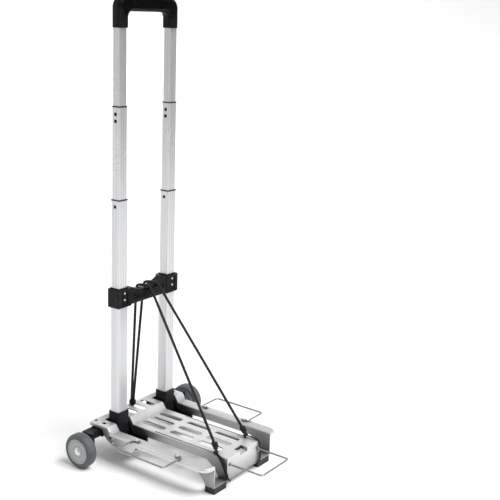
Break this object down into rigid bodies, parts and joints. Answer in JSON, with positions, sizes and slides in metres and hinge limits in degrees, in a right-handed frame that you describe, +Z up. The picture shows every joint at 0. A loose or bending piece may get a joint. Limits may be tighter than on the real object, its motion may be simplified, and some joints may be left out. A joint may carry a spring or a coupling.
{
  "type": "folding luggage cart",
  "caption": "Folding luggage cart: pressed deck, telescopic mast with arched handle, folding wheels, wire wings and elastic cords.",
  "frame": {"origin": "on the floor, under the middle of the overall length and width", "axes": "+Z up the mast, +X to the right, -Y to the front, where the deck carries the load"},
  "size_m": [0.3932, 0.4274, 1],
  "materials": {
    "deck_aluminium": "fine sand-textured silver coating",
    "tube_aluminium": "satin brushed, fluted",
    "handle_plastic": "fine grained black",
    "black_plastic": "fine grained black",
    "tyre": "dark grey-green, dull",
    "hub_plastic": "light grey, slightly glossy",
    "plated_steel": "bright zinc plate",
    "wire_steel": "drawn wire, dull grey",
    "elastic_cord": "black woven cover"
  },
  "bodies": {
    "base": {"deck": "deck_aluminium", "foot_left": "black_plastic", "foot_right": "black_plastic", "hinge_block_left": "black_plastic", "hinge_block_right": "black_plastic", "hinge_pins": "plated_steel", "arm_bracket_left": "black_plastic", "arm_bracket_right": "black_plastic", "arm_pivot_pins": "plated_steel", "bracket_rivets": "plated_steel", "wire_guides": "black_plastic", "cord_left": "elastic_cord", "cord_right": "elastic_cord", "cord_knot_left": "elastic_cord", "cord_knot_right": "elastic_cord", "cord_anchor": "elastic_cord"},
    "mast": {"socket_left": "black_plastic", "socket_right": "black_plastic", "outer_tube_left": "tube_aluminium", "outer_tube_right": "tube_aluminium", "outer_collars": "black_plastic", "crossbar_front": "black_plastic", "crossbar_back": "black_plastic", "crossbar_screws": "plated_steel"},
    "lower_stage": {"lower_tube_left": "tube_aluminium", "lower_tube_right": "tube_aluminium", "lower_guides": "black_plastic", "lower_collars": "black_plastic"},
    "middle_stage": {"middle_tube_left": "tube_aluminium", "middle_tube_right": "tube_aluminium", "middle_guides": "black_plastic", "middle_collars": "black_plastic"},
    "upper_stage": {"upper_tube_left": "tube_aluminium", "upper_tube_right": "tube_aluminium", "upper_guides": "black_plastic", "handle_front": "handle_plastic", "handle_back": "handle_plastic", "handle_screws": "plated_steel", "button_spring": "plated_steel"},
    "release": {"release_button": "handle_plastic", "push_rods": "plated_steel"},
    "lower_locks": {"lower_lock_pins": "black_plastic"},
    "middle_locks": {"middle_lock_pins": "black_plastic"},
    "upper_locks": {"upper_lock_pins": "black_plastic"},
    "wing_left": {"wing_left": "wire_steel"},
    "wing_right": {"wing_right": "wire_steel"},
    "front_wire": {"front_wire": "wire_steel"},
    "wheel_arm_left": {"wheel_arm_left": "black_plastic", "axle_bolt_left": "plated_steel"},
    "wheel_left": {"tyre_left": "tyre", "hub_left": "hub_plastic", "bearings_left": "plated_steel"},
    "wheel_arm_right": {"wheel_arm_right": "black_plastic", "axle_bolt_right": "plated_steel"},
    "wheel_right": {"tyre_right": "tyre", "hub_right": "hub_plastic", "bearings_right": "plated_steel"}
  },
  "joints": [
    {"name": "mast_fold", "type": "hinge", "parent": "base", "child": "mast", "pos_m": [0, 0.1602, 0.051], "axis": [1, 0, 0], "range_deg": [0, 90], "deforming": ["cord_left", "cord_right"]},
    {"name": "lower_slide", "type": "slide", "parent": "mast", "child": "lower_stage", "axis": [0, 0, -1], "range_m": [0, 0.19]},
    {"name": "middle_slide", "type": "slide", "parent": "lower_stage", "child": "middle_stage", "axis": [0, 0, -1], "range_m": [0, 0.192]},
    {"name": "upper_slide", "type": "slide", "parent": "middle_stage", "child": "upper_stage", "axis": [0, 0, -1], "range_m": [0, 0.156]},
    {"name": "release_press", "type": "slide", "parent": "upper_stage", "child": "release", "axis": [0, 0, -1], "range_m": [0, 0.004], "stiffness_N_per_m": 400, "springref_m": -0.006, "deforming": ["button_spring"]},
    {"name": "upper_lock_slide", "type": "slide", "parent": "upper_stage", "child": "upper_locks", "axis": [1, 0, 0], "range_m": [0, 0.002]},
    {"name": "middle_lock_slide", "type": "slide", "parent": "middle_stage", "child": "middle_locks", "axis": [1, 0, 0], "range_m": [0, 0.002], "stiffness_N_per_m": 300, "springref_m": -0.003},
    {"name": "lower_lock_slide", "type": "slide", "parent": "lower_stage", "child": "lower_locks", "axis": [-1, 0, 0], "range_m": [0, 0.002], "stiffness_N_per_m": 300, "springref_m": -0.003},
    {"name": "wheel_arm_fold_left", "type": "hinge", "parent": "base", "child": "wheel_arm_left", "pos_m": [-0.118, 0.1812, 0.062], "axis": [0, -1, 0], "range_deg": [0, 90]},
    {"name": "wheel_spin_left", "type": "hinge", "parent": "wheel_arm_left", "child": "wheel_left", "pos_m": [-0.183, 0.1752, 0.0385], "axis": [1, 0, 0], "continuous": true},
    {"name": "wing_fold_left", "type": "hinge", "parent": "base", "child": "wing_left", "pos_m": [-0.119, 0.0122, 0.0683], "axis": [0, 1, 0], "range_deg": [0, 180]},
    {"name": "wheel_arm_fold_right", "type": "hinge", "parent": "base", "child": "wheel_arm_right", "pos_m": [0.118, 0.1812, 0.062], "axis": [0, 1, 0], "range_deg": [0, 90]},
    {"name": "wheel_spin_right", "type": "hinge", "parent": "wheel_arm_right", "child": "wheel_right", "pos_m": [0.183, 0.1752, 0.0385], "axis": [1, 0, 0], "continuous": true},
    {"name": "wing_fold_right", "type": "hinge", "parent": "base", "child": "wing_right", "pos_m": [0.119, 0.0122, 0.0683], "axis": [0, -1, 0], "range_deg": [0, 180]},
    {"name": "front_wire_slide", "type": "slide", "parent": "base", "child": "front_wire", "axis": [0, 1, 0], "range_m": [0, 0.0796]}
  ],
  "couplings": [
    {"joint": "upper_lock_slide", "follows": "release_press", "ratio": 0.5},
    {"joint": "wheel_arm_fold_left", "follows": "mast_fold", "ratio": 1},
    {"joint": "wheel_arm_fold_right", "follows": "mast_fold", "ratio": 1},
    {"joint": "front_wire_slide", "follows": "mast_fold", "m_per_rad": 0.050674}
  ]
}
